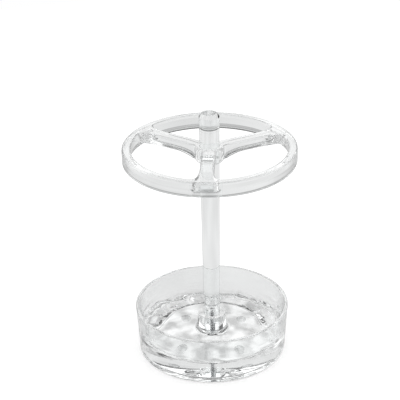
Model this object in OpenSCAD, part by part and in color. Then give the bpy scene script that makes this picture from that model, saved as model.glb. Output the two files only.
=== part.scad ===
// Clear toothbrush stand. A ring frame with three spokes sits high on a tapered post, and the post
// stands in the boss of a thick-bottomed dish, where one screw from below holds it.

/* [Overall] */
// Height from the table to the tip of the post
stand_h = 155; // [140:1:180]

/* [Dish] */
// Outer diameter at the rim
dish_d = 93; // [86:0.5:110]
// Height from the dish's bottom edge to its rim
dish_h = 29.7; // [26:0.1:36]
// How far the outer wall leans in from the rim to the bottom edge
dish_lean = 1.9; // [0.5:0.1:3]
// Wall thickness at the rim
rim_wall = 2.1; // [1.8:0.1:3]
// Wall thickness where the wall meets the floor
foot_wall = 2.9; // [2:0.1:4]
// Radius of the rounded rim edges
rim_edge_r = 0.9; // [0.3:0.1:0.9]
// Radius of the rounded bottom edge
foot_edge_r = 1.5; // [0.5:0.1:3]
// Thickness of the floor, from the bottom edge to the floor's top
floor_t = 12; // [11:0.1:13]
// Fillet between the floor and the inner wall
floor_fillet_r = 4; // [1:0.1:6]
// Depth of the recess in the underside
recess_h = 0.7; // [0.4:0.1:1]
// Width of the flat rim around that recess
foot_rim_w = 8; // [4:0.1:10]

/* [Boss] */
// Diameter of the boss at its top
boss_d = 16.5; // [15:0.1:20]
// How far the boss's side leans out from its top to the floor
boss_lean = 0.8; // [0.2:0.1:2]
// Height of the boss above the floor
boss_h = 10.4; // [9.5:0.1:13]
// Fillet between the boss and the floor
boss_fillet_r = 3; // [0.5:0.1:4]
// Radius of the boss's rounded top edge
boss_edge_r = 0.6; // [0.2:0.1:1]
// Depth of the socket that takes the post
socket_h = 14.4; // [10:0.1:16]
// Depth of the well in the underside that takes the screw's head
well_h = 2.3; // [2.2:0.1:3]

/* [Post] */
// Diameter at the tip, below the bevel
post_d = 12; // [11:0.1:13]
// Draft of the post, which is narrowest at its foot, in degrees
post_draft = 0.48; // [0.2:0.01:0.6]
// Height of the bevel around the tip
tip_bevel_h = 2.2; // [0.5:0.1:4]
// Width of that bevel
tip_bevel_w = 1.7; // [0.5:0.1:3]

/* [Ring frame] */
// Outer diameter of the ring
ring_d = 102; // [92:0.5:120]
// Radial width of the ring
ring_w = 5.4; // [4:0.1:8]
// Height of the ring and of the hub
ring_h = 9.3; // [8:0.1:12]
// Radius of the ring's rounded edges
ring_edge_r = 1.5; // [0.5:0.1:2]
// Distance from the tip of the post down to the frame's top face
ring_drop = 20.3; // [12:0.1:30]
// Number of spokes
spoke_count = 3; // [3:1:4]
// Width of a spoke along its straight stretch
spoke_w = 8.2; // [6:0.1:10]
// Depth of a spoke where it meets the ring
spoke_end_h = 6.7; // [4:0.1:7.5]
// Distance from the hub to where a spoke's underside starts to arch
arch_start = 1; // [0.6:0.1:3]
// Length of that arch, up to where the underside runs level to the ring
arch_len = 12.5; // [8:0.1:18]
// Length of the flare at the spoke's outer end
flare_len = 15; // [10:0.1:24]
// How much wider the spoke is at the ring, on each side
flare_w = 2.6; // [1:0.1:5]
// Fillet between a spoke and the ring
ring_fillet_r = 3; // [1:0.1:4]
// Diameter of the hub
hub_d = 17; // [16:0.1:20]
// Fillet between the hub and a spoke
hub_fillet_r = 3; // [1:0.1:4]

/* [Screw] */
// Diameter of the thread
screw_d = 2.5; // [2.2:0.1:3.5]
// Length under the head
screw_len = 22; // [18:0.5:26]
// Diameter of the head
head_d = 4.8; // [4.2:0.1:5.6]
// Height of the head
head_h = 1.8; // [1.4:0.1:2.2]
// Width of a bar of the cross recess in the head
drive_w = 0.8; // [0.5:0.1:1]
// Depth of that cross recess
drive_h = 1.1; // [0.6:0.1:1.2]

/* [Feet] */
// Diameter of a foot pad
pad_d = 6; // [5:0.1:10]
// Height of a foot pad
pad_h = 1.2; // [1.1:0.1:2]
// Radius of the pad's rounded lower edge
pad_edge_r = 0.5; // [0.2:0.1:1]
// Diameter of the circle on which the pads lie
pad_circle_d = 49; // [40:0.5:60]

/* [Fits] */
// Radial clearance of the post in the hub and in the socket
seat_gap = 0.05; // [0.02:0.01:0.1]
// Radial clearance around the screw where it passes through the dish
screw_gap = 0.25; // [0.1:0.05:0.4]
// Radial clearance around the screw's head
head_gap = 0.8; // [0.4:0.1:1]
// Depth of the pilot hole past the screw's point
pilot_spare = 1; // [0.5:0.1:2]
// Radial clearance of the thread in the pilot hole
thread_gap = 0.03; // [0.01:0.01:0.08]

/* [Hidden] */
$fn = 128;
arc_steps = 8;
// Overrun of every cut, so that no cut ends flush with a face
over = 0.5;
// How far the round cuts of the frame reach into the faces they meet, so that no two edges fall together
bite = 0.03;
clear_plastic = [0.90, 0.93, 0.93, 0.45];
clear_rubber = [0.82, 0.86, 0.86, 0.6];

// Heights above the table
lift = pad_h - recess_h;
floor_z = lift + floor_t;
rim_z = lift + dish_h;
boss_z = floor_z + boss_h;
post_foot_z = boss_z - socket_h;
head_seat_z = lift + recess_h + well_h;
frame_z = stand_h - ring_drop;
frame_foot_z = frame_z - ring_h;

// Radii of the dish's walls at a height z
wall_angle = atan(dish_lean / dish_h);
function outer_r(z) = dish_d / 2 - (rim_z - z) * tan(wall_angle);
floor_r = outer_r(floor_z) - foot_wall;
inner_angle = atan((dish_d / 2 - rim_wall - floor_r) / (rim_z - floor_z));
function inner_r(z) = floor_r + (z - floor_z) * tan(inner_angle);
boss_angle = atan(boss_lean / boss_h);
function boss_r(z) = boss_d / 2 + (boss_z - z) * tan(boss_angle);

// Radius of the post at a height z
function post_r(z) = post_d / 2 - (stand_h - z) * tan(post_draft);

// Radii in the frame, and the two large arcs that shape a spoke
ring_in_r = ring_d / 2 - ring_w;
flare_start = ring_in_r - flare_len;
flare_r = (flare_len * flare_len + flare_w * flare_w) / (2 * flare_w);
arch_end_r = hub_d / 2 + arch_start + arch_len;
arch_h = ring_h - spoke_end_h;
arch_r = (arch_len * arch_len + arch_h * arch_h) / (2 * arch_h);

// Points of an arc about c, from angle a0 to angle a1
function arc(c, r, a0, a1) =
    [for (i = [0:arc_steps]) let (a = a0 + (a1 - a0) * i / arc_steps) c + r * [cos(a), sin(a)]];

// The point where a circle of radius r1 about c1 meets one of radius r2 about c2, on the side given
function meet(c1, r1, c2, r2, side) =
    let (
        d = norm(c2 - c1),
        u = (c2 - c1) / d,
        a = (r1 * r1 - r2 * r2 + d * d) / (2 * d),
        h = sqrt(r1 * r1 - a * a)
    )
    c1 + a * u + side * h * [-u[1], u[0]];

// Half section of the dish and its boss, from the underside round the rim to the boss's top
module dish_section() {
    foot_z = lift + foot_edge_r;
    fillet_z = floor_z + floor_fillet_r;
    boss_fillet_z = floor_z + boss_fillet_r;
    rim_edge_z = rim_z - rim_edge_r;
    boss_edge_z = boss_z - boss_edge_r;
    recess_r = outer_r(lift) - foot_rim_w;
    polygon(concat(
        [[0, lift + recess_h], [recess_r, lift + recess_h], [recess_r, lift]],
        arc([outer_r(foot_z) - foot_edge_r / cos(wall_angle), foot_z], foot_edge_r, -90, -wall_angle),
        arc([outer_r(rim_edge_z) - rim_edge_r / cos(wall_angle), rim_edge_z], rim_edge_r,
            -wall_angle, 90),
        arc([inner_r(rim_edge_z) + rim_edge_r / cos(inner_angle), rim_edge_z], rim_edge_r,
            90, 180 - inner_angle),
        arc([inner_r(fillet_z) - floor_fillet_r / cos(inner_angle), fillet_z], floor_fillet_r,
            -inner_angle, -90),
        arc([boss_r(boss_fillet_z) + boss_fillet_r / cos(boss_angle), boss_fillet_z], boss_fillet_r,
            -90, boss_angle - 180),
        arc([boss_r(boss_edge_z) - boss_edge_r / cos(boss_angle), boss_edge_z], boss_edge_r,
            boss_angle, 90),
        [[0, boss_z]]
    ));
}

// The dish, with the socket for the post from above and the well for the screw's head from below
module base_dish() {
    color(clear_plastic)
    difference() {
        rotate_extrude() dish_section();
        translate([0, 0, post_foot_z])
            cylinder(h = socket_h, r1 = post_r(post_foot_z) + seat_gap, r2 = post_r(boss_z) + seat_gap);
        translate([0, 0, boss_z - boss_edge_r])
            cylinder(h = boss_edge_r + over, r = post_r(boss_z) + seat_gap);
        cylinder(h = post_foot_z + over, r = screw_d / 2 + screw_gap);
        cylinder(h = head_seat_z, r = head_d / 2 + head_gap);
    }
}

// The post, bevelled at its tip and bored from below for the screw
module post() {
    bevel_z = stand_h - tip_bevel_h;
    pilot_h = head_seat_z + screw_len + pilot_spare - post_foot_z;
    color(clear_plastic)
    difference() {
        union() {
            translate([0, 0, post_foot_z])
                cylinder(h = bevel_z - post_foot_z, r1 = post_r(post_foot_z), r2 = post_r(bevel_z));
            translate([0, 0, bevel_z])
                cylinder(h = tip_bevel_h, r1 = post_r(bevel_z), r2 = post_r(bevel_z) - tip_bevel_w);
        }
        translate([0, 0, post_foot_z - over])
            cylinder(h = pilot_h + over, r = screw_d / 2 + thread_gap);
    }
}

// Section of the ring: a rectangle with four rounded corners
module ring_section() {
    x0 = ring_in_r + ring_edge_r;
    x1 = ring_d / 2 - ring_edge_r;
    z0 = frame_foot_z + ring_edge_r;
    z1 = frame_z - ring_edge_r;
    polygon(concat(
        arc([x1, z0], ring_edge_r, -90, 0),
        arc([x1, z1], ring_edge_r, 0, 90),
        arc([x0, z1], ring_edge_r, 90, 180),
        arc([x0, z0], ring_edge_r, 180, 270)
    ));
}

// Plan of one spoke along +X: a straight bar that flares towards the ring along two large arcs
module spoke_plan() {
    half_w = spoke_w / 2;
    end_w = half_w + flare_w;
    end_x = ring_in_r + ring_w / 2;
    translate([0, -half_w]) square([end_x, spoke_w]);
    difference() {
        translate([flare_start, -end_w]) square([end_x - flare_start, 2 * end_w]);
        for (side = [-1, 1])
            translate([flare_start, side * (half_w + flare_r)])
                circle(r = flare_r + bite, $fn = 4 * $fn);
    }
    for (side = [-1, 1]) {
        hub_fillet(side);
        ring_fillet(side);
    }
}

// Fills the corner between the hub and a spoke's straight side
module hub_fillet(side) {
    r = hub_d / 2 + hub_fillet_r;
    y = spoke_w / 2 + hub_fillet_r;
    x = sqrt(r * r - y * y);
    c = [x, side * y];
    difference() {
        polygon([[0, 0], [x, 0], c]);
        translate(c) circle(r = hub_fillet_r + bite);
    }
}

// Fills the corner between the ring's inner wall and a spoke's flare
module ring_fillet(side) {
    flare_c = [flare_start, side * (spoke_w / 2 + flare_r)];
    c = meet([0, 0], ring_in_r - ring_fillet_r, flare_c, flare_r - ring_fillet_r, -side);
    on_ring = c * ring_in_r / norm(c);
    on_flare = flare_c + (c - flare_c) * flare_r / norm(c - flare_c);
    corner = [ring_in_r + ring_w / 2, side * spoke_w / 2];
    difference() {
        polygon([c, on_flare, corner, on_ring]);
        translate(c) circle(r = ring_fillet_r + bite);
    }
}

// Plan of the hub and all spokes, with the first spoke along -Y
module frame_plan() {
    circle(d = hub_d);
    for (i = [0:spoke_count - 1]) rotate(i * 360 / spoke_count - 90) spoke_plan();
}

// Half section of the space that the hub and the spokes fill: full height round the hub, then arched
// underneath, then level to the ring
module arch_section() {
    difference() {
        translate([0, frame_foot_z]) square([ring_d / 2, ring_h]);
        translate([arch_end_r, frame_z - spoke_end_h - arch_r])
            circle(r = arch_r, $fn = 4 * $fn);
        translate([arch_end_r, frame_foot_z - over])
            square([ring_d / 2, arch_h + over - bite]);
    }
}

// The ring frame: ring, spokes and hub in one piece, with a tapered bore that fits the post
module ring_frame() {
    color(clear_plastic)
    difference() {
        union() {
            rotate_extrude() ring_section();
            intersection() {
                translate([0, 0, frame_foot_z]) linear_extrude(ring_h) frame_plan();
                rotate_extrude() arch_section();
            }
        }
        translate([0, 0, frame_foot_z - over])
            cylinder(h = ring_h + 2 * over, r1 = post_r(frame_foot_z - over) + seat_gap,
                     r2 = post_r(frame_z + over) + seat_gap);
    }
}

// The screw, driven from below: a pan head with a cross recess, and a pointed shank
module base_screw() {
    head_r = head_d / 2;
    shank_r = screw_d / 2;
    point_h = screw_d;
    color("silver")
    difference() {
        union() {
            translate([0, 0, head_seat_z - head_h / 2]) cylinder(h = head_h / 2, r = head_r);
            translate([0, 0, head_seat_z - head_h])
                cylinder(h = head_h / 2, r1 = head_r - head_h / 3, r2 = head_r);
            translate([0, 0, head_seat_z]) cylinder(h = screw_len - point_h, r = shank_r);
            translate([0, 0, head_seat_z + screw_len - point_h])
                cylinder(h = point_h, r1 = shank_r, r2 = shank_r / 8);
        }
        for (a = [0, 90])
            rotate(a) translate([-head_r / 2, -drive_w / 2, head_seat_z - head_h - over])
                cube([head_r, drive_w, drive_h + over]);
    }
}

// A foot pad under the dish, at an angle from +X
module foot_pad(angle) {
    r = pad_d / 2;
    color(clear_rubber)
    rotate(angle) translate([pad_circle_d / 2, 0, 0])
        rotate_extrude() polygon(concat(
            [[0, 0]],
            arc([r - pad_edge_r, pad_edge_r], pad_edge_r, -90, 0),
            [[r, pad_h], [0, pad_h]]
        ));
}

module foot_pad_front_right() { foot_pad(-45); }
module foot_pad_rear_right() { foot_pad(45); }
module foot_pad_rear_left() { foot_pad(135); }
module foot_pad_front_left() { foot_pad(-135); }

base_dish();
post();
ring_frame();
base_screw();
foot_pad_front_right();
foot_pad_rear_right();
foot_pad_rear_left();
foot_pad_front_left();
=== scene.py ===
"""Clear toothbrush stand: dish with boss, tapered post, three-spoked ring frame, screw and foot pads."""
import math

import bmesh
import bpy
from mathutils import Matrix, Vector
from mathutils.geometry import delaunay_2d_cdt


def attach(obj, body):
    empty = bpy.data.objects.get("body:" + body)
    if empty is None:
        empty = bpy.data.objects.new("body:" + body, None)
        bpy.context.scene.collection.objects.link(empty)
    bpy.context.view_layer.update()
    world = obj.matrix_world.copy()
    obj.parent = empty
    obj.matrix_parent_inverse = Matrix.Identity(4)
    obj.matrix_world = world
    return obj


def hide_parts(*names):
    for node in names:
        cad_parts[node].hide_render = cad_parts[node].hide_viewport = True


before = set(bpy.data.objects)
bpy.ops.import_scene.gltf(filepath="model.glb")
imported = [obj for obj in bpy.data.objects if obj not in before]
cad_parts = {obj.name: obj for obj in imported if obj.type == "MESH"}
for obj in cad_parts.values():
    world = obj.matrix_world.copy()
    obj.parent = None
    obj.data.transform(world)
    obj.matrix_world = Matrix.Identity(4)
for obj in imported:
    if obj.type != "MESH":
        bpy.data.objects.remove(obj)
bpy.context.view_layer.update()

# Sizes, in millimetres as in the CAD source
MM = 0.001
STAND_H = 155
DISH_D, DISH_H, DISH_LEAN = 93, 29.7, 1.9
RIM_WALL, FOOT_WALL, RIM_EDGE_R, FOOT_EDGE_R = 2.1, 2.9, 0.9, 1.5
FLOOR_T, FLOOR_FILLET_R, RECESS_H, FOOT_RIM_W = 12, 4.0, 0.7, 8
BOSS_D, BOSS_LEAN, BOSS_H, BOSS_FILLET_R, BOSS_EDGE_R = 16.5, 0.8, 10.4, 3.0, 0.6
SOCKET_H, WELL_H = 14.4, 2.3
POST_D, POST_DRAFT, TIP_BEVEL_H, TIP_BEVEL_W = 12, 0.48, 2.2, 1.7
RING_D, RING_W, RING_H, RING_EDGE_R, RING_DROP = 102, 5.4, 9.3, 1.5, 20.3
SPOKE_W, SPOKE_END_H, ARCH_START, ARCH_LEN = 8.2, 6.7, 1.0, 12.5
FLARE_LEN, FLARE_W, RING_FILLET_R = 15, 2.6, 3.0
HUB_D, HUB_FILLET_R = 17, 3.0
SCREW_D, SCREW_LEN, HEAD_D, HEAD_H, DRIVE_W, DRIVE_H = 2.5, 22, 4.8, 1.8, 0.8, 1.1
PAD_D, PAD_H, PAD_EDGE_R, PAD_CIRCLE_D = 6, 1.2, 0.5, 49
SEAT_GAP, SCREW_GAP, HEAD_GAP, PILOT_SPARE, THREAD_GAP = 0.05, 0.25, 0.8, 1.0, 0.03

# Small forms that only this scene has: edges, the cone that ends the pilot hole, and the width over which
# the underside of the frame steps from the spokes down to the ring's foot
TIP_ROUND, RECESS_EDGE_R, BORE_EDGE_R, SOCKET_BEVEL, POST_FOOT_BEVEL = 0.35, 0.3, 0.3, 0.25, 0.2
PILOT_CONE_H, STEP_W = 0.6, 1.3
# The pads are stuck on and the screw pulls the post onto its seat, so pads and post overlap the dish by
# this much, and light passes there with no film of air
PRESS = 0.01

# Heights above the table, and the ring's inner radius
LIFT = PAD_H - RECESS_H
FLOOR_Z = LIFT + FLOOR_T
RIM_Z = LIFT + DISH_H
BOSS_Z = FLOOR_Z + BOSS_H
POST_FOOT_Z = BOSS_Z - SOCKET_H
CEILING_Z = LIFT + RECESS_H
HEAD_SEAT_Z = CEILING_Z + WELL_H
FRAME_Z = STAND_H - RING_DROP
FRAME_FOOT_Z = FRAME_Z - RING_H
RING_IN_R = RING_D / 2 - RING_W

# How many steps each round form has around its axis
DISH_STEPS, POST_STEPS, PAD_STEPS, HEAD_STEPS, RING_STEPS, BORE_STEPS = 256, 192, 64, 48, 288, 128
# Points closer than this are one point, and the same for the triangles of the ring frame's caps
SAME, CAP_SAME = 1e-6, 1e-7


def post_r(z):
    """Radius of the tapered post at a height."""
    return POST_D / 2 - (STAND_H - z) * math.tan(math.radians(POST_DRAFT))


# Mesh helpers
def new_object(name, verts, faces, replaces, sharp=None, normals=None, corners=None):
    """A piece made of points in millimetres, shaded by its sharp angle or by normals that are given."""
    mesh = bpy.data.meshes.new(name)
    mesh.from_pydata([Vector(v) * MM for v in verts], [], faces)
    mesh.update()
    mesh.polygons.foreach_set("use_smooth", [True] * len(mesh.polygons))
    if sharp is not None:
        mesh.set_sharp_from_angle(angle=math.radians(sharp))
    if normals is not None:
        mesh.normals_split_custom_set_from_vertices(normals)
    if corners is not None:
        mesh.normals_split_custom_set(corners)
    obj = bpy.data.objects.new(name, mesh)
    bpy.context.scene.collection.objects.link(obj)
    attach(obj, "root")
    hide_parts(*replaces)
    return obj


class Wall:
    """A straight wall turned around the axis: its radius at one height and its lean out per height."""

    def __init__(self, r, z, slope):
        self.r, self.z, self.slope = r, z, slope
        # the way that its outer side faces, in degrees above the level
        self.facing = -math.degrees(math.atan(slope))

    def at(self, z):
        return self.r + (z - self.z) * self.slope

    def beside(self, z, distance):
        """Radius of the point at height z that lies this far outside the wall, or inside if negative."""
        return self.at(z) + distance / math.cos(math.radians(self.facing))


class Profile:
    """A closed outline of (radius, height) to turn into a solid, walked with the solid on its left. Each
    stretch keeps its own true normals, so straight walls stay straight in the light."""

    def __init__(self, r, z):
        self.start = self.at = (r, z)
        self.stretches = []

    def line(self, r, z):
        length = math.dist(self.at, (r, z))
        if length > SAME:
            normal = ((z - self.at[1]) / length, (self.at[0] - r) / length)
            self.stretches.append((self.at, (r, z), normal, normal))
            self.at = (r, z)
        return self

    def arc(self, cx, cz, radius, a0, a1, steps):
        """A line to the arc's start, then the arc, angles in degrees; hollow where it turns clockwise."""
        side = 1 if a1 > a0 else -1
        a0, a1 = math.radians(a0), math.radians(a1)
        angles = [a0 + (a1 - a0) * i / steps for i in range(steps + 1)]
        points = [(cx + radius * math.cos(a), cz + radius * math.sin(a)) for a in angles]
        normals = [(side * math.cos(a), side * math.sin(a)) for a in angles]
        self.line(*points[0])
        for point, n0, n1 in zip(points[1:], normals, normals[1:]):
            self.stretches.append((self.at, point, n0, n1))
            self.at = point
        return self

    def corner(self, r, z, radius, r2, z2, steps=6):
        """A line towards (r, z) that turns there, rounded by radius, to head for (r2, z2)."""
        d0 = Vector((r - self.at[0], z - self.at[1])).normalized()
        d1 = Vector((r2 - r, z2 - z)).normalized()
        turn = d0.angle_signed(d1)
        cut = radius * math.tan(abs(turn) / 2)
        start = Vector((r, z)) - d0 * cut
        side = 1 if turn < 0 else -1
        centre = start + Vector((-d0.y, d0.x)) * radius * side
        a0 = math.degrees(math.atan2(start.y - centre.y, start.x - centre.x))
        return self.arc(centre.x, centre.y, radius, a0, a0 + side * math.degrees(abs(turn)), steps)

    def turned(self, steps, centre=(0, 0)):
        """Points, faces and face-corner normals of the solid turned around an upright axis at centre."""
        self.line(*self.start)
        cx, cy = centre
        angles = [2 * math.pi * k / steps for k in range(steps)]
        rows, verts = {}, []

        def row(r, z):
            key = (round(r / SAME), round(z / SAME))
            if key not in rows:
                if r < SAME:
                    rows[key] = [len(verts)] * steps
                    verts.append((cx, cy, z))
                else:
                    rows[key] = list(range(len(verts), len(verts) + steps))
                    verts.extend((cx + r * math.cos(a), cy + r * math.sin(a), z) for a in angles)
            return rows[key]

        faces, corners = [], []
        for p, q, n0, n1 in self.stretches:
            a, b = row(*p), row(*q)
            # a row on the axis is one point, and a stretch along the axis has no face
            a_point, b_point = a[0] == a[1], b[0] == b[1]
            if a_point and b_point:
                continue
            for k in range(steps):
                m = (k + 1) % steps
                face = [(a[k], k, n0), (a[m], m, n0), (b[m], m, n1), (b[k], k, n1)]
                if a_point:
                    face.pop(0)
                if b_point:
                    face.pop()
                faces.append(tuple(i for i, _, _ in face))
                for _, j, n in face:
                    corners.append((n[0] * math.cos(angles[j]), n[0] * math.sin(angles[j]), n[1]))
        return verts, faces, corners


def turned_object(name, profile, steps, replaces, centre=(0, 0)):
    verts, faces, corners = profile.turned(steps, centre)
    return new_object(name, verts, faces, replaces, corners=corners)


# Dish with its boss
def dish_profile():
    """The dish's outline, from the well out over foot and rim and back over the boss and its socket."""
    outer = Wall(DISH_D / 2, RIM_Z, DISH_LEAN / DISH_H)
    floor_r = outer.at(FLOOR_Z) - FOOT_WALL
    inner = Wall(floor_r, FLOOR_Z, (DISH_D / 2 - RIM_WALL - floor_r) / (RIM_Z - FLOOR_Z))
    boss = Wall(BOSS_D / 2, BOSS_Z, -BOSS_LEAN / BOSS_H)
    well_r, hole_r = HEAD_D / 2 + HEAD_GAP, SCREW_D / 2 + SCREW_GAP
    recess_r = outer.at(LIFT) - FOOT_RIM_W
    top_r = post_r(BOSS_Z) + SEAT_GAP

    p = Profile(well_r, CEILING_Z)
    p.line(recess_r - RECESS_EDGE_R, CEILING_Z).line(recess_r, CEILING_Z)
    p.arc(recess_r + RECESS_EDGE_R, LIFT + RECESS_EDGE_R, RECESS_EDGE_R, 180, 270, steps=4)
    z = LIFT + FOOT_EDGE_R
    p.arc(outer.beside(z, -FOOT_EDGE_R), z, FOOT_EDGE_R, -90, outer.facing, steps=10)
    z = RIM_Z - RIM_EDGE_R
    p.arc(outer.beside(z, -RIM_EDGE_R), z, RIM_EDGE_R, outer.facing, 90, steps=8)
    p.arc(inner.beside(z, RIM_EDGE_R), z, RIM_EDGE_R, 90, 180 + inner.facing, steps=8)
    z = FLOOR_Z + FLOOR_FILLET_R
    p.arc(inner.beside(z, -FLOOR_FILLET_R), z, FLOOR_FILLET_R, inner.facing, -90, steps=12)
    z = FLOOR_Z + BOSS_FILLET_R
    p.arc(boss.beside(z, BOSS_FILLET_R), z, BOSS_FILLET_R, -90, boss.facing - 180, steps=10)
    z = BOSS_Z - BOSS_EDGE_R
    p.arc(boss.beside(z, -BOSS_EDGE_R), z, BOSS_EDGE_R, boss.facing, 90, steps=6)
    p.line(top_r + SOCKET_BEVEL, BOSS_Z).line(top_r, BOSS_Z - SOCKET_BEVEL)
    z = POST_FOOT_Z + PRESS
    p.line(post_r(POST_FOOT_Z) + SEAT_GAP, z).line(hole_r, z)
    return p.line(hole_r, HEAD_SEAT_Z).line(well_r, HEAD_SEAT_Z)


def make_dish():
    return turned_object("dish", dish_profile(), DISH_STEPS, ["base_dish"])


# Post
def make_post():
    """The tapered rod, with its bevelled tip and the blind pilot hole in its foot."""
    bevel_z = STAND_H - TIP_BEVEL_H
    foot_r, bevel_r = post_r(POST_FOOT_Z), post_r(bevel_z)
    flat_r = bevel_r - TIP_BEVEL_W
    pilot_r, pilot_z = SCREW_D / 2 + THREAD_GAP, HEAD_SEAT_Z + SCREW_LEN + PILOT_SPARE
    p = Profile(pilot_r, POST_FOOT_Z)
    p.line(foot_r - POST_FOOT_BEVEL, POST_FOOT_Z).line(foot_r, POST_FOOT_Z + POST_FOOT_BEVEL)
    p.corner(bevel_r, bevel_z, TIP_ROUND, flat_r, STAND_H)
    p.corner(flat_r, STAND_H, TIP_ROUND, 0, STAND_H)
    # down the axis to the cone that ends the pilot hole
    p.line(0, STAND_H).line(0, pilot_z + PILOT_CONE_H).line(pilot_r, pilot_z)
    return turned_object("post_rod", p, POST_STEPS, ["post"])


# Ring frame
SPOKE_ANGLES, SECTOR = (-90, 30, 150), math.radians(120)
ARCH_FOOT_R = HUB_D / 2 + ARCH_START
ARCH_END_R = ARCH_FOOT_R + ARCH_LEN
ARCH_H = RING_H - SPOKE_END_H
ARCH_R = (ARCH_LEN ** 2 + ARCH_H ** 2) / (2 * ARCH_H)
# Steps along the parts of an opening's outline, and across a rounded edge
HUB_STEPS, HUB_FILLET_STEPS, SIDE_STEPS, FLARE_STEPS = 10, 10, 10, 16
RING_FILLET_STEPS, INNER_WALL_STEPS, EDGE_STEPS = 12, 22, 7
# Points strewn over the underside: steps across the arch and across the step at the ring, radii of the
# circles near the hub, along the flat part of the spokes and under the ring, the distance from point to
# point, and the square of the least distance to an edge
ARCH_ROWS, STEP_ROWS = 22, 8
HUB_ROW_R, FLAT_ROW_R, RING_ROW_R = 9.6, (24, 26, 28.5, 31, 33.5, 36, 38.5, 41, 43.4), 47.6
STREW_STEP, EDGE_NEAR_SQ = 0.9, 0.12


def meet(c1, r1, c2, r2):
    """The point where two circles meet, to the right of the way from c1 to c2."""
    d = math.dist(c1, c2)
    ux, uy = (c2[0] - c1[0]) / d, (c2[1] - c1[1]) / d
    along = (r1 * r1 - r2 * r2 + d * d) / (2 * d)
    across = math.sqrt(r1 * r1 - along * along)
    return (c1[0] + along * ux + across * uy, c1[1] + along * uy - across * ux)


def half_opening():
    """Half of one opening, on the +Y side of a spoke along +X: points (x, y, nx, ny) from the hub to the
    ring, the normal (nx, ny) pointing into the opening."""
    half_w, hub_r, middle = SPOKE_W / 2, HUB_D / 2, SECTOR / 2
    points = []

    def add(cx, cy, r, a0, a1, steps, hollow, first=0):
        # hollow: the arc's centre lies in the opening, so the normal points to it
        side = -1 if hollow else 1
        for i in range(first, steps + 1):
            a = a0 + (a1 - a0) * i / steps
            c, s = math.cos(a), math.sin(a)
            points.append((cx + r * c, cy + r * s, side * c, side * s))

    # hub, and its fillet to the spoke
    fillet_y = half_w + HUB_FILLET_R
    fillet_x = math.sqrt((hub_r + HUB_FILLET_R) ** 2 - fillet_y ** 2)
    hub_a = math.atan2(fillet_y, fillet_x)
    add(0, 0, hub_r, middle, hub_a, HUB_STEPS, False)
    add(fillet_x, fillet_y, HUB_FILLET_R, hub_a - math.pi, -math.pi / 2, HUB_FILLET_STEPS, True, first=1)
    # straight side
    flare_x = RING_IN_R - FLARE_LEN
    for i in range(1, SIDE_STEPS):
        points.append((fillet_x + (flare_x - fillet_x) * i / SIDE_STEPS, half_w, 0, 1))
    # flare, the fillet to the ring, and the ring's inner wall
    flare_r = (FLARE_LEN ** 2 + FLARE_W ** 2) / (2 * FLARE_W)
    flare_y = half_w + flare_r
    fx, fy = meet((0, 0), RING_IN_R - RING_FILLET_R, (flare_x, flare_y), flare_r - RING_FILLET_R)
    flare_a, ring_a = math.atan2(fy - flare_y, fx - flare_x), math.atan2(fy, fx)
    add(flare_x, flare_y, flare_r, -math.pi / 2, flare_a, FLARE_STEPS, True)
    add(fx, fy, RING_FILLET_R, flare_a, ring_a, RING_FILLET_STEPS, True, first=1)
    add(0, 0, RING_IN_R, ring_a, middle, INNER_WALL_STEPS, True, first=1)
    return points


def opening(angle):
    """The whole opening between the spoke at angle and the next one, as a closed loop."""
    half = half_opening()
    points = list(half)
    # the other half, mirrored about the opening's middle
    c, s = math.cos(SECTOR), math.sin(SECTOR)
    for x, y, nx, ny in reversed(half[:-1]):
        points.append((x * c + y * s, x * s - y * c, nx * c + ny * s, nx * s - ny * c))
    points.pop()
    c, s = math.cos(math.radians(angle)), math.sin(math.radians(angle))
    return [(x * c - y * s, x * s + y * c, nx * c - ny * s, nx * s + ny * c) for x, y, nx, ny in points]


def circle_loop(r, steps, outward):
    """A round loop of points (x, y, nx, ny), the normals pointing away from the axis or to it."""
    side = 1 if outward else -1
    angles = [2 * math.pi * i / steps for i in range(steps)]
    return [(r * math.cos(a), r * math.sin(a), side * math.cos(a), side * math.sin(a)) for a in angles]


def under(rho):
    """Height of the frame's underside above its lowest face at a radius, and its slope there."""
    if rho <= ARCH_FOOT_R:
        return 0.0, 0.0
    if rho < ARCH_END_R:
        dx = ARCH_END_R - rho
        h = math.sqrt(ARCH_R ** 2 - dx ** 2)
        return h - (ARCH_R - ARCH_H), dx / h
    if rho < RING_IN_R:
        return ARCH_H, 0.0
    if rho < RING_IN_R + STEP_W:
        t = (rho - RING_IN_R) / STEP_W
        return ARCH_H * (1 - t * t * (3 - 2 * t)), -ARCH_H * 6 * t * (1 - t) / STEP_W
    return 0.0, 0.0


def underside(x, y, rho):
    """Height of the underside as in under, and its normal, at a place and its radius rho."""
    h, slope = under(rho)
    return h, Vector((slope * x / rho, slope * y / rho, -1)).normalized()


def inside(plan, x, y):
    """Whether a place lies in the frame's plan: in its outer loop and in none of its holes."""
    around = 0
    for loop in plan:
        hit = False
        for (xi, yi), (xj, yj) in loop:
            if (yi > y) != (yj > y) and x < (xj - xi) * (y - yi) / (yj - yi) + xi:
                hit = not hit
        around += hit
    return around == 1


def strewn(plan, rim):
    """Places in the plan, clear of the points of its rim, that let the underside follow arch and step."""
    arch = [ARCH_FOOT_R + ARCH_LEN * k / ARCH_ROWS for k in range(ARCH_ROWS + 1)]
    step = [RING_IN_R + STEP_W * k / STEP_ROWS for k in range(STEP_ROWS + 1)]
    places = []
    for rho in (HUB_ROW_R, *arch, *FLAT_ROW_R, *step, RING_ROW_R):
        count = int(2 * math.pi * rho / STREW_STEP)
        for k in range(count):
            a = 2 * math.pi * k / count
            x, y = rho * math.cos(a), rho * math.sin(a)
            if inside(plan, x, y) and min((x - c.x) ** 2 + (y - c.y) ** 2 for c in rim) >= EDGE_NEAR_SQ:
                places.append(Vector((x, y)))
    return places


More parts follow.
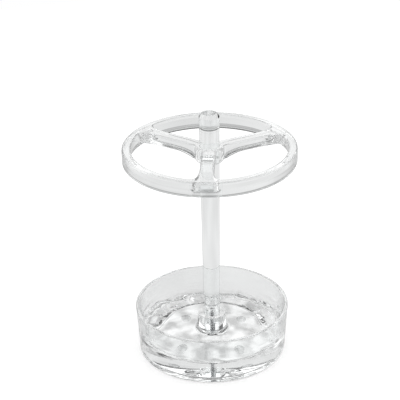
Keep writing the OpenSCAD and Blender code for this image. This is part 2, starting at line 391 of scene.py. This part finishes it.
def make_ring():
    """Ring, spokes and hub in one, with rounded edges, an arched underside, a flat top and a tapered bore."""
    foot_bore_r, top_bore_r = post_r(FRAME_FOOT_Z) + SEAT_GAP, post_r(FRAME_Z) + SEAT_GAP
    # every loop of the plan, its edge's radius and how many times wider it is at the top
    loops = [(circle_loop(RING_D / 2, RING_STEPS, True), RING_EDGE_R, 1)]
    loops += [(opening(angle), RING_EDGE_R, 1) for angle in SPOKE_ANGLES]
    loops.append((circle_loop(foot_bore_r, BORE_STEPS, False), BORE_EDGE_R, top_bore_r / foot_bore_r))
    verts, normals, faces = [], [], []

    def put(x, y, z, normal):
        verts.append((x, y, z))
        normals.append(normal.normalized())
        return len(verts) - 1

    def cap(rows, top):
        """Close the loops in rows with the flat top or with the underside."""
        ids = [i for row in rows for i in row]
        rim = [Vector(verts[i][:2]) for i in ids]
        plan, edges = [], []
        for row in rows:
            points = [verts[i][:2] for i in row]
            plan.append(list(zip(points, points[-1:] + points[:-1])))
            base = len(edges)
            edges += [(base + k, base + (k + 1) % len(row)) for k in range(len(row))]
        extra = [] if top else strewn(plan, rim)
        got, _, triangles, sources, _, _ = delaunay_2d_cdt(rim + extra, edges, [], 0, CAP_SAME, True)
        index = []
        for v, source in zip(got, sources):
            if source and source[0] < len(ids):
                index.append(ids[source[0]])
            else:
                h, normal = underside(v.x, v.y, v.length)
                index.append(put(v.x, v.y, FRAME_FOOT_Z + h, normal))
        for tri in triangles:
            a, b, c = (got[i] for i in tri)
            if inside(plan, (a.x + b.x + c.x) / 3, (a.y + b.y + c.y) / 3):
                face = tuple(index[i] for i in tri)
                looks_up = (b - a).cross(c - a) > 0
                faces.append(face if looks_up == top else face[::-1])

    foot_rows, top_rows = [], []
    for loop, edge_r, widening in loops:
        rows = []
        for k in range(EDGE_STEPS + 1):  # from the underside up to the wall
            t = math.radians(90 * (1 - k / EDGE_STEPS))
            rows.append([])
            for x, y, nx, ny in loop:
                inset = edge_r * (1 - math.cos(t))
                px, py = x - nx * inset, y - ny * inset
                h, below = underside(px, py, math.hypot(px, py))
                normal = Vector((nx, ny, 0)) * math.cos(t) + below * math.sin(t)
                rows[-1].append(put(px, py, FRAME_FOOT_Z + h + edge_r * (1 - math.sin(t)), normal))
        for k in range(EDGE_STEPS + 1):  # and from the wall to the top
            t = math.radians(90 * k / EDGE_STEPS)
            rows.append([])
            for x, y, nx, ny in loop:
                inset = edge_r * (1 - math.cos(t))
                px, py = (x - nx * inset) * widening, (y - ny * inset) * widening
                normal = Vector((nx, ny, 0)) * math.cos(t) + Vector((0, 0, 1)) * math.sin(t)
                rows[-1].append(put(px, py, FRAME_Z - edge_r * (1 - math.sin(t)), normal))
        # the way round that the loop runs, against its normals, sets the order of a face's corners
        (x0, y0, nx, ny), (x1, y1, _, _) = loop[:2]
        keep = (x1 - x0) * ny - (y1 - y0) * nx < 0
        for a, b in zip(rows, rows[1:]):
            for k in range(len(loop)):
                m = (k + 1) % len(loop)
                quad = (a[k], a[m], b[m], b[k])
                faces.append(quad if keep else quad[::-1])
        foot_rows.append(rows[0])
        top_rows.append(rows[-1])
    cap(foot_rows, False)
    cap(top_rows, True)
    return new_object("ring_and_spokes", verts, faces, ["ring_frame"], normals=normals)


# Screw
# Its head: points of the outline, as the inset from its edge and the height above its lowest face
HEAD_OUTLINE = [(1.1, 0), (0.7, 0.15), (0.12, 0.42 * HEAD_H), (0, 0.62 * HEAD_H),
                (0, HEAD_H - 0.08), (0.08, HEAD_H)]
# Its cross recess: half its length as a share of the head's radius, how far its length and width narrow
# towards its bottom, and the cutter's overrun
CROSS_REACH, CROSS_NARROW_L, CROSS_NARROW_W, OVERRUN = 0.5, 0.72, 0.7, 0.3
# Its thread: pitch and height, half the ridge's width as a share of the pitch, and a gain that flattens
# the crest
THREAD_PITCH, THREAD_H, RIDGE_SHARE, CREST_GAIN = 1.5, 0.42, 0.34, 1.25
# Its plain neck, cut by a share of the thread's height: whole length, start and length of the fade into
# the thread; the point's share of the radius; how deep the shank starts in the head
NECK_LEN, NECK_PLAIN, NECK_FADE, NECK_CUT, POINT_SHARE, SHANK_START = 1.6, 0.9, 0.7, 0.45, 0.12, 0.02
# Points round the shank, rings of them in each turn of the thread, and the angle of a sharp edge
SHANK_STEPS, PITCH_RINGS, SCREW_SHARP = 28, 10, 35
SHANK_Z, POINT_Z = HEAD_SEAT_Z - SHANK_START, HEAD_SEAT_Z + SCREW_LEN


def raw_object(name, bm):
    """A helper object from a bmesh, which is freed."""
    mesh = bpy.data.meshes.new(name)
    bm.to_mesh(mesh)
    bm.free()
    obj = bpy.data.objects.new(name, mesh)
    bpy.context.scene.collection.objects.link(obj)
    return obj


def screw_head():
    """Points and faces of the pan head, its domed side down, with a cross recess cut in from below."""
    head_r, foot_z = HEAD_D / 2, HEAD_SEAT_Z - HEAD_H
    p = Profile(0, foot_z)
    for inset, height in HEAD_OUTLINE:
        p.line(head_r - inset, foot_z + height)
    verts, faces, _ = p.line(0, HEAD_SEAT_Z).turned(HEAD_STEPS)
    bm = bmesh.new()
    corners = [bm.verts.new(Vector(v)) for v in verts]
    for face in faces:
        bm.faces.new([corners[i] for i in face])
    head = raw_object("screw_head_raw", bm)

    bm = bmesh.new()
    for turn in (0, 90):
        for v in bmesh.ops.create_cube(bm, size=1)["verts"]:
            mouth = v.co.z < 0
            length = head_r * CROSS_REACH * (1 if mouth else CROSS_NARROW_L)
            width = DRIVE_W / 2 * (1 if mouth else CROSS_NARROW_W)
            z = foot_z - OVERRUN if mouth else foot_z + DRIVE_H
            v.co = Vector((math.copysign(length, v.co.x), math.copysign(width, v.co.y), z))
            v.co.rotate(Matrix.Rotation(math.radians(turn), 3, "Z"))
    cutter = raw_object("cross_raw", bm)

    mod = head.modifiers.new("cross", "BOOLEAN")
    mod.operation, mod.object, mod.solver, mod.use_self = "DIFFERENCE", cutter, "EXACT", True
    bpy.context.view_layer.update()
    cut = bpy.data.meshes.new_from_object(head.evaluated_get(bpy.context.evaluated_depsgraph_get()))
    for obj in (head, cutter):
        bpy.data.objects.remove(obj)
    return [tuple(v.co) for v in cut.vertices], [tuple(f.vertices) for f in cut.polygons]


def shank_r(z, turn):
    """Radius of the shank at a height and a turn from 0 to 1, where the thread's ridge climbs a helix."""
    core_r, neck_r = SCREW_D / 2 - THREAD_H, SCREW_D / 2 - THREAD_H * NECK_CUT
    phase = (z / THREAD_PITCH - turn) % 1
    ridge = max(0.0, 1 - abs(phase - 0.5) / RIDGE_SHARE)
    r = core_r + THREAD_H * min(1.0, ridge * CREST_GAIN)
    if z < HEAD_SEAT_Z + NECK_LEN:
        r = neck_r + (r - neck_r) * max(0, (z - SHANK_Z - NECK_PLAIN) / NECK_FADE)
    to_point = (POINT_Z - z) / SCREW_D
    if to_point < 1:
        r *= POINT_SHARE + (1 - POINT_SHARE) * to_point
    return r


def make_screw():
    """The head, and a shank with a real helical thread."""
    verts, faces = screw_head()
    base = len(verts)
    count = int((POINT_Z - SHANK_Z) / THREAD_PITCH * PITCH_RINGS)
    for i in range(count + 1):
        z = SHANK_Z + (POINT_Z - SHANK_Z) * i / count
        for k in range(SHANK_STEPS):
            r, a = shank_r(z, k / SHANK_STEPS), 2 * math.pi * k / SHANK_STEPS
            verts.append((r * math.cos(a), r * math.sin(a), z))
    for i in range(count):
        a, b = base + i * SHANK_STEPS, base + (i + 1) * SHANK_STEPS
        for k in range(SHANK_STEPS):
            m = (k + 1) % SHANK_STEPS
            faces.append((a + k, a + m, b + m, b + k))
    last = base + count * SHANK_STEPS
    faces.append(tuple(base + k for k in reversed(range(SHANK_STEPS))))
    faces.append(tuple(last + k for k in range(SHANK_STEPS)))
    return new_object("screw", verts, faces, ["base_screw"], sharp=SCREW_SHARP)


# Foot pads, each at its angle on the pad circle
PAD_ANGLES = {"foot_pad_front_right": -45, "foot_pad_rear_right": 45,
              "foot_pad_rear_left": 135, "foot_pad_front_left": -135}


def make_pads():
    pads = []
    r = PAD_D / 2
    for name, angle in PAD_ANGLES.items():
        a = math.radians(angle)
        centre = (PAD_CIRCLE_D / 2 * math.cos(a), PAD_CIRCLE_D / 2 * math.sin(a))
        p = Profile(0, 0).arc(r - PAD_EDGE_R, PAD_EDGE_R, PAD_EDGE_R, -90, 0, steps=10)
        p.line(r, PAD_H + PRESS).line(0, PAD_H + PRESS)
        pads.append(turned_object(name.removeprefix("foot_"), p, PAD_STEPS, [name], centre))
    return pads


# Node helpers
def grey(v):
    return (v, v, v, 1)


def math_node(tree, operation, *values):
    """Result of a Math node on these values, each a number or another node's output."""
    node = tree.nodes.new("ShaderNodeMath")
    node.operation = operation
    for value, socket in zip(values, node.inputs):
        if isinstance(value, (int, float)):
            socket.default_value = value
        else:
            tree.links.new(value, socket)
    return node.outputs[0]


def product(tree, result, *factors):
    """All of these multiplied."""
    for factor in factors:
        result = math_node(tree, "MULTIPLY", result, factor)
    return result


def vector_node(tree, operation, a, b=None):
    """A Vector Math node on outputs a and b."""
    node = tree.nodes.new("ShaderNodeVectorMath")
    node.operation = operation
    tree.links.new(a, node.inputs[0])
    if b is not None:
        tree.links.new(b, node.inputs[1])
    return node


def between(tree, value, low, high, rising=True):
    """0 to 1 as value goes from low to high, with soft ends, or 1 to 0."""
    node = tree.nodes.new("ShaderNodeMapRange")
    node.interpolation_type = "SMOOTHSTEP"
    node.inputs["From Min"].default_value, node.inputs["From Max"].default_value = low, high
    if not rising:
        node.inputs["To Min"].default_value, node.inputs["To Max"].default_value = 1, 0
    tree.links.new(value, node.inputs["Value"])
    return node.outputs["Result"]


def toward(tree, level, target, mask):
    """level moved to target where mask is 1."""
    return math_node(tree, "ADD", level, product(tree, math_node(tree, "SUBTRACT", target, level), mask))


def axes(tree, vector):
    """The X, Y and Z of a vector output."""
    node = tree.nodes.new("ShaderNodeSeparateXYZ")
    tree.links.new(vector, node.inputs["Vector"])
    return node.outputs


def object_place(tree):
    return tree.nodes.new("ShaderNodeTexCoord").outputs["Object"]


def noise(tree, scale, detail, place=None, stretch=None):
    """Noise from about 0.3 to 0.7 over an output that gives the place, or over the object itself."""
    node = tree.nodes.new("ShaderNodeTexNoise")
    node.inputs["Scale"].default_value = scale
    node.inputs["Detail"].default_value = detail
    place = place or object_place(tree)
    if stretch:
        mapping = tree.nodes.new("ShaderNodeMapping")
        mapping.inputs["Scale"].default_value = stretch
        tree.links.new(place, mapping.inputs["Vector"])
        place = mapping.outputs["Vector"]
    tree.links.new(place, node.inputs["Vector"])
    return node.outputs["Fac"]


def ramp(tree, value, low, high):
    """Colour that goes from one to another: low and high are each (value, colour)."""
    node = tree.nodes.new("ShaderNodeValToRGB")
    for element, (position, colour) in zip(node.color_ramp.elements, (low, high)):
        element.position, element.color = position, colour
    tree.links.new(value, node.inputs["Fac"])
    return node.outputs["Color"]


def bump(tree, height, strength, distance, over=None):
    """Normal of a surface that rises with height, over another bump's normal if one is given."""
    node = tree.nodes.new("ShaderNodeBump")
    node.inputs["Strength"].default_value = strength
    node.inputs["Distance"].default_value = distance
    tree.links.new(height, node.inputs["Height"])
    if over:
        tree.links.new(over, node.inputs["Normal"])
    return node.outputs["Normal"]


def mix_shader(tree, mask, shader, masked):
    """One shader, and the other where mask is 1."""
    node = tree.nodes.new("ShaderNodeMixShader")
    tree.links.new(mask, node.inputs["Fac"])
    tree.links.new(shader.outputs[0], node.inputs[1])
    tree.links.new(masked.outputs[0], node.inputs[2])
    return node


def empty_material(name):
    mat = bpy.data.materials.new(name)
    mat.use_nodes = True
    mat.node_tree.nodes.clear()
    return mat, mat.node_tree


def principled_material(name):
    mat, tree = empty_material(name)
    out = tree.nodes.new("ShaderNodeOutputMaterial")
    bsdf = tree.nodes.new("ShaderNodeBsdfPrincipled")
    tree.links.new(bsdf.outputs["BSDF"], out.inputs["Surface"])
    return mat, tree, bsdf


# Height of the finest grain and lines, in metres
GRAIN_H = 0.1 * MM
# Clear acrylic: refraction, its tint and the paler one that it drifts to, the strength of the mould's waves
# and the roughness of handling haze
ACRYLIC_IOR, TINT, PALE_TINT = 1.49, (0.975, 0.985, 0.985, 1), (0.98085, 0.99091, 0.99091, 1)
WAVE, HAZE = 0.02, 0.012
# Painted shade: the colour darkens where the acrylic is seen along its surface, painting dark edges: how far
# along that sets in, from 0 to 1, and the painted shade's tone at the very edge of each piece
EDGE_SHADE_FROM, RING_EDGE_SHADE, POST_EDGE_SHADE, DISH_EDGE_SHADE = 0.6, 0.0, 0.2, 0.5
# Sink marks of the thick floor, on its top near the wall and strongest at the back: bump height in
# millimetres, noise scale, and the radii and the places along Y, in metres, over which they set in
SINK, SINK_SCALE, SINK_R, SINK_Y = 7.0, 75, (0.028, 0.036), (-0.020, 0.010)
# The heights over which they come and go, and how level the surface is where they set in, from 0 to 1
SINK_FROM, SINK_TO, SINK_LEVEL = (0.0110, 0.0120), (0.0165, 0.020), (0.05, 0.3)
# Their share in front of those places, and the heights over which it sets in
SINK_FRONT_SHARE, SINK_FRONT_Z = 0.7, (0.0126, 0.0135)
# The foot rim's own faint unevenness: bump height in millimetres, noise scale, and the radii and heights
# over which it comes and goes
RIM_SINK, RIM_SCALE, RIM_R, RIM_TOP = 0.9, 110, (0.0370, 0.0385), (0.0030, 0.0050)


def dish_marks(tree):
    """Bump height of the sink marks in the dish's floor and of its foot rim's unevenness."""
    x, y, z = axes(tree, object_place(tree))
    normal = tree.nodes.new("ShaderNodeNewGeometry").outputs["True Normal"]
    level = math_node(tree, "ABSOLUTE", axes(tree, normal)["Z"])
    r_squared = math_node(tree, "ADD", math_node(tree, "POWER", x, 2), math_node(tree, "POWER", y, 2))
    r = math_node(tree, "SQRT", r_squared)
    front = product(tree, between(tree, z, *SINK_FRONT_Z), SINK_FRONT_SHARE)
    top = product(tree, math_node(tree, "MAXIMUM", between(tree, y, *SINK_Y), front),
                  between(tree, r, *SINK_R), between(tree, z, *SINK_FROM),
                  between(tree, z, *SINK_TO, rising=False), between(tree, level, *SINK_LEVEL),
                  noise(tree, SINK_SCALE, detail=1), SINK)
    rim = product(tree, between(tree, r, *RIM_R), between(tree, z, *RIM_TOP, rising=False),
                  noise(tree, RIM_SCALE, detail=1), RIM_SINK)
    return math_node(tree, "ADD", top, rim)


def clear_plastic(name, edge_shade_tone, sink=False):
    """Moulded clear acrylic: faint waves of the mould in its surface, a trace of handling haze, and painted
    shade that darkens its colour where it is seen along its surface.
    """
    mat, tree, bsdf = principled_material(name)
    bsdf.inputs["Transmission Weight"].default_value = 1
    bsdf.inputs["IOR"].default_value = ACRYLIC_IOR
    tint = ramp(tree, noise(tree, scale=14, detail=3), (0.3, TINT), (0.7, PALE_TINT))
    # painted shade: the colour darkens towards the edges, where the acrylic is seen along its surface
    weight = tree.nodes.new("ShaderNodeLayerWeight")
    weight.inputs["Blend"].default_value = 0.5
    glance = ramp(tree, weight.outputs["Facing"], (EDGE_SHADE_FROM, grey(1)), (1.0, grey(edge_shade_tone)))
    tree.links.new(vector_node(tree, "MULTIPLY", tint, glance).outputs["Vector"], bsdf.inputs["Base Color"])
    haze = ramp(tree, noise(tree, scale=55, detail=4), (0.45, grey(0)), (0.8, grey(HAZE)))
    tree.links.new(haze, bsdf.inputs["Roughness"])
    normal = bump(tree, noise(tree, scale=60, detail=1), WAVE, MM)
    if sink:
        normal = bump(tree, dish_marks(tree), 1, MM, over=normal)
    tree.links.new(normal, bsdf.inputs["Normal"])
    return mat


# Plated steel: its dull and bright tones, the roughness that goes with each, the strength of its lines
DULL_STEEL, BRIGHT_STEEL, STEEL_ROUGH = (0.42, 0.42, 0.43, 1), (0.62, 0.62, 0.63, 1), (0.22, 0.36)
STEEL_LINES = 0.15


def steel(name):
    """Plated steel: bright, with fine turned lines and faint dull patches."""
    mat, tree, bsdf = principled_material(name)
    bsdf.inputs["Metallic"].default_value = 1
    patches = noise(tree, scale=900, detail=3)
    tone = ramp(tree, patches, (0.3, DULL_STEEL), (0.7, BRIGHT_STEEL))
    tree.links.new(tone, bsdf.inputs["Base Color"])
    rough = ramp(tree, patches, (0.3, grey(STEEL_ROUGH[0])), (0.7, grey(STEEL_ROUGH[1])))
    tree.links.new(rough, bsdf.inputs["Roughness"])
    lines = noise(tree, scale=700, detail=2, stretch=(1, 1, 9))
    tree.links.new(bump(tree, lines, STEEL_LINES, GRAIN_H), bsdf.inputs["Normal"])
    return mat


# Clear pads: refraction, the tones of their mottling, whose dark tone is painted shade, the roughness that
# goes with each, their grain
PAD_IOR, PAD_SHADE_TONE, PAD_PALE, PAD_ROUGH = 1.47, (0.58, 0.59, 0.59, 1), (0.97, 0.975, 0.975, 1), (0.06, 0.16)
PAD_GRAIN = 0.2


def pad_rubber(name):
    """Soft clear polyurethane: mottled, with a dark tone that is painted shade, slightly hazy, with a fine
    grain.
    """
    mat, tree, bsdf = principled_material(name)
    bsdf.inputs["Transmission Weight"].default_value = 1
    bsdf.inputs["IOR"].default_value = PAD_IOR
    mottle = noise(tree, scale=420, detail=2)
    # painted shade: the mottling's dark tone darkens the whole pad
    tree.links.new(ramp(tree, mottle, (0.40, PAD_SHADE_TONE), (0.62, PAD_PALE)), bsdf.inputs["Base Color"])
    rough = ramp(tree, mottle, (0.3, grey(PAD_ROUGH[0])), (0.7, grey(PAD_ROUGH[1])))
    tree.links.new(rough, bsdf.inputs["Roughness"])
    grain = noise(tree, scale=1800, detail=2)
    tree.links.new(bump(tree, grain, PAD_GRAIN, GRAIN_H), bsdf.inputs["Normal"])
    return mat


# The pieces and their materials
dish = make_dish()
post = make_post()
ring = make_ring()
screw = make_screw()
pads = make_pads()
dish.data.materials.append(clear_plastic("dish_acrylic", DISH_EDGE_SHADE, sink=True))
post.data.materials.append(clear_plastic("post_acrylic", POST_EDGE_SHADE))
ring.data.materials.append(clear_plastic("frame_acrylic", RING_EDGE_SHADE))
screw.data.materials.append(steel("plated_steel"))
for pad in pads:
    pad.data.materials.append(pad_rubber("pad_" + pad.name))

# Table: its radius in metres, the steps round it, its colour and the glow that the camera sees on it
TABLE_R, TABLE_STEPS, TABLE_COLOUR, TABLE_GLOW = 0.7, 96, 0.7, 0.5
# Painted light and shade on it, which clear pieces see: the plain tone; the painted light gained at the front
# and at each side, with the places over which it sets in; how far back the sides reach; broad patches of
# painted light and shade; the painted shade that falls towards the back
TABLE_TONE, FRONT_GAIN, RIGHT_GAIN, LEFT_GAIN = 0.87, 0.08, 0.06, 0.08
FRONT_Y, RIGHT_X, LEFT_X, SIDES_Y = (-0.35, -0.15), (0.10, 0.16), (-0.25, -0.12), (0.10, 0.20)
PATCH_SCALE, PATCH_LOW = 9, 0.86
BACK_Y, BACK_FALL = (0.30, 0.62), 0.55
# Painted clouds of light and shade that stand in for the light the clear dish gathers below itself and its
# shadow:
# noise scale, tones, radii over which they end and how far their centre lies in front of the axis
CLOUD_SCALE, CLOUD_LOW, CLOUD_HIGH, CLOUD_R, CLOUD_SHIFT = 95, 0.52, 0.98, (0.056, 0.066), 0.014
# Studio that clear pieces see: the tone of the room, panels in it, and the half width of their soft edges.
# Angles are in degrees, and the compass angle counts from +X towards +Y
ROOM_TONE, PANEL_SOFT = 0.12, 3
PANELS = [
    # compass middle and half width, lowest and highest angle, brightness
    (0, 180, -90, 8, 0.72),
    (108, 52, 17, 42, 1.3),
    (90, 60, -14, -4, 0.4),
    (90, 60, 9, 16, 0.0),
    (165, 24, 1, 40, 1.5),
    (222, 33, 1, 32, 0.9),
    (312, 54, 1, 32, 1.35),
    (0, 180, 78, 90, 0.5),
]


def glass_rays(tree):
    """1 for light sent on by a clear or glossy surface, and the Light Path node that tells it."""
    path = tree.nodes.new("ShaderNodeLightPath")
    glossy, passed = path.outputs["Is Glossy Ray"], path.outputs["Is Transmission Ray"]
    return math_node(tree, "MAXIMUM", glossy, passed), path


def painted_table_light(tree):
    """Painted light and shade that clear pieces see on the table, by place."""
    place = tree.nodes.new("ShaderNodeNewGeometry").outputs["Position"]
    x, y, _ = axes(tree, place)
    # painted light and shade: brighter towards the front and the sides, in broad patches, and darker towards
    # the back
    front = product(tree, between(tree, y, *FRONT_Y, rising=False), FRONT_GAIN)
    sides = math_node(tree, "ADD", product(tree, between(tree, x, *RIGHT_X), RIGHT_GAIN),
                      product(tree, between(tree, x, *LEFT_X, rising=False), LEFT_GAIN))
    sides = product(tree, sides, between(tree, y, *SIDES_Y, rising=False))
    level = math_node(tree, "ADD", math_node(tree, "ADD", TABLE_TONE, front), sides)
    patches = noise(tree, PATCH_SCALE, detail=1, place=place)
    patches = ramp(tree, patches, (0.35, grey(PATCH_LOW)), (0.65, grey(1)))
    fall = product(tree, between(tree, y, *BACK_Y), BACK_FALL)
    level = product(tree, level, patches, math_node(tree, "SUBTRACT", 1, fall))
    # painted clouds of light and shade on the table under the dish
    clouds = noise(tree, CLOUD_SCALE, detail=1.5, place=place)
    light = ramp(tree, clouds, (0.38, grey(CLOUD_LOW)), (0.62, grey(CLOUD_HIGH)))
    shifted = vector_node(tree, "ADD", place)
    shifted.inputs[1].default_value = (0, CLOUD_SHIFT, 0)
    r = vector_node(tree, "LENGTH", shifted.outputs["Vector"]).outputs["Value"]
    return toward(tree, level, light, between(tree, r, *CLOUD_R, rising=False))


def make_floor():
    """The table: white to the camera, and glowing with painted light and shade for light that clear pieces
    send on.
    """
    angles = [2 * math.pi * k / TABLE_STEPS for k in range(TABLE_STEPS)]
    points = [(TABLE_R * math.cos(a), TABLE_R * math.sin(a), 0) for a in angles]
    mesh = bpy.data.meshes.new("floor")
    mesh.from_pydata(points, [], [tuple(range(TABLE_STEPS))])
    obj = bpy.data.objects.new("floor", mesh)
    bpy.context.scene.collection.objects.link(obj)
    mat, tree = empty_material("white_floor")
    matt = tree.nodes.new("ShaderNodeBsdfDiffuse")
    matt.inputs["Color"].default_value = grey(TABLE_COLOUR)
    glow = tree.nodes.new("ShaderNodeEmission")
    seen, path = glass_rays(tree)
    tree.links.new(product(tree, path.outputs["Is Camera Ray"], TABLE_GLOW), glow.inputs["Strength"])
    white = tree.nodes.new("ShaderNodeAddShader")
    tree.links.new(matt.outputs[0], white.inputs[0])
    tree.links.new(glow.outputs[0], white.inputs[1])
    # the table glows with painted light and shade for the light that clear pieces send on
    tones = tree.nodes.new("ShaderNodeEmission")
    tree.links.new(painted_table_light(tree), tones.inputs["Strength"])
    out = tree.nodes.new("ShaderNodeOutputMaterial")
    tree.links.new(mix_shader(tree, seen, white, tones).outputs[0], out.inputs["Surface"])
    obj.data.materials.append(mat)


def studio(tree):
    """Brightness by direction: a grey room with panels in it, each a patch of compass angle and height."""
    x, y, z = axes(tree, tree.nodes.new("ShaderNodeTexCoord").outputs["Generated"])
    compass = product(tree, math_node(tree, "ARCTAN2", y, x), math.degrees(1))
    height = product(tree, math_node(tree, "ARCSINE", z), math.degrees(1))
    level = ROOM_TONE
    for middle, half, low, high, bright in PANELS:
        # the angle from the panel's middle, either way, is 0 to 180
        off = math_node(tree, "WRAP", math_node(tree, "SUBTRACT", compass, middle), 180, -180)
        off = math_node(tree, "ABSOLUTE", off)
        mask = product(tree, between(tree, off, half - PANEL_SOFT, half + PANEL_SOFT, rising=False),
                       between(tree, height, low - PANEL_SOFT, low + PANEL_SOFT),
                       between(tree, height, high - PANEL_SOFT, high + PANEL_SOFT, rising=False))
        level = toward(tree, level, bright, mask)
    return level


def make_world():
    """Plain white to the camera and to matt surfaces, and the studio to light that clear pieces send on."""
    world = bpy.data.worlds.new("studio")
    bpy.context.scene.world = world
    world.use_nodes = True
    tree = world.node_tree
    tree.nodes.clear()
    plain, room = (tree.nodes.new("ShaderNodeBackground") for _ in range(2))
    for background in (plain, room):
        background.inputs["Color"].default_value = grey(1)
    plain.inputs["Strength"].default_value = 1
    tree.links.new(studio(tree), room.inputs["Strength"])
    seen, _ = glass_rays(tree)
    out = tree.nodes.new("ShaderNodeOutputWorld")
    tree.links.new(mix_shader(tree, seen, plain, room).outputs[0], out.inputs["Surface"])


make_floor()
make_world()

# Camera, fitted to the photo: its place in metres, its lens and sensor in millimetres, its clipping range
# in metres, and how it is turned
CAMERA_AT, CAMERA_LENS, SENSOR_W, CLIP = (0.0391, -0.7182, 0.4544), 122.42, 36, (0.01, 20)
PITCH, ROLL, TURN = math.radians(26.26), math.radians(-1.05), math.radians(3.6)
# Light passes many clear walls here
BOUNCES = 40


def make_camera():
    data = bpy.data.cameras.new("camera")
    camera = bpy.data.objects.new("camera", data)
    bpy.context.scene.collection.objects.link(camera)
    data.sensor_width, data.lens = SENSOR_W, CAMERA_LENS
    data.clip_start, data.clip_end = CLIP
    back = Vector((math.sin(TURN) * math.cos(PITCH), -math.cos(TURN) * math.cos(PITCH), math.sin(PITCH)))
    level = Vector((math.cos(TURN), math.sin(TURN), 0))
    up = back.cross(level)
    # a rolled camera: the picture's content turns the other way
    rolled_right = level * math.cos(ROLL) + up * math.sin(ROLL)
    rolled_up = up * math.cos(ROLL) - level * math.sin(ROLL)
    turned = Matrix((rolled_right, rolled_up, back)).transposed().to_4x4()
    camera.matrix_world = Matrix.Translation(CAMERA_AT) @ turned
    return camera


scene = bpy.context.scene
scene.camera = make_camera()
scene.view_settings.view_transform = "Standard"
scene.cycles.max_bounces = scene.cycles.transmission_bounces = scene.cycles.glossy_bounces = BOUNCES
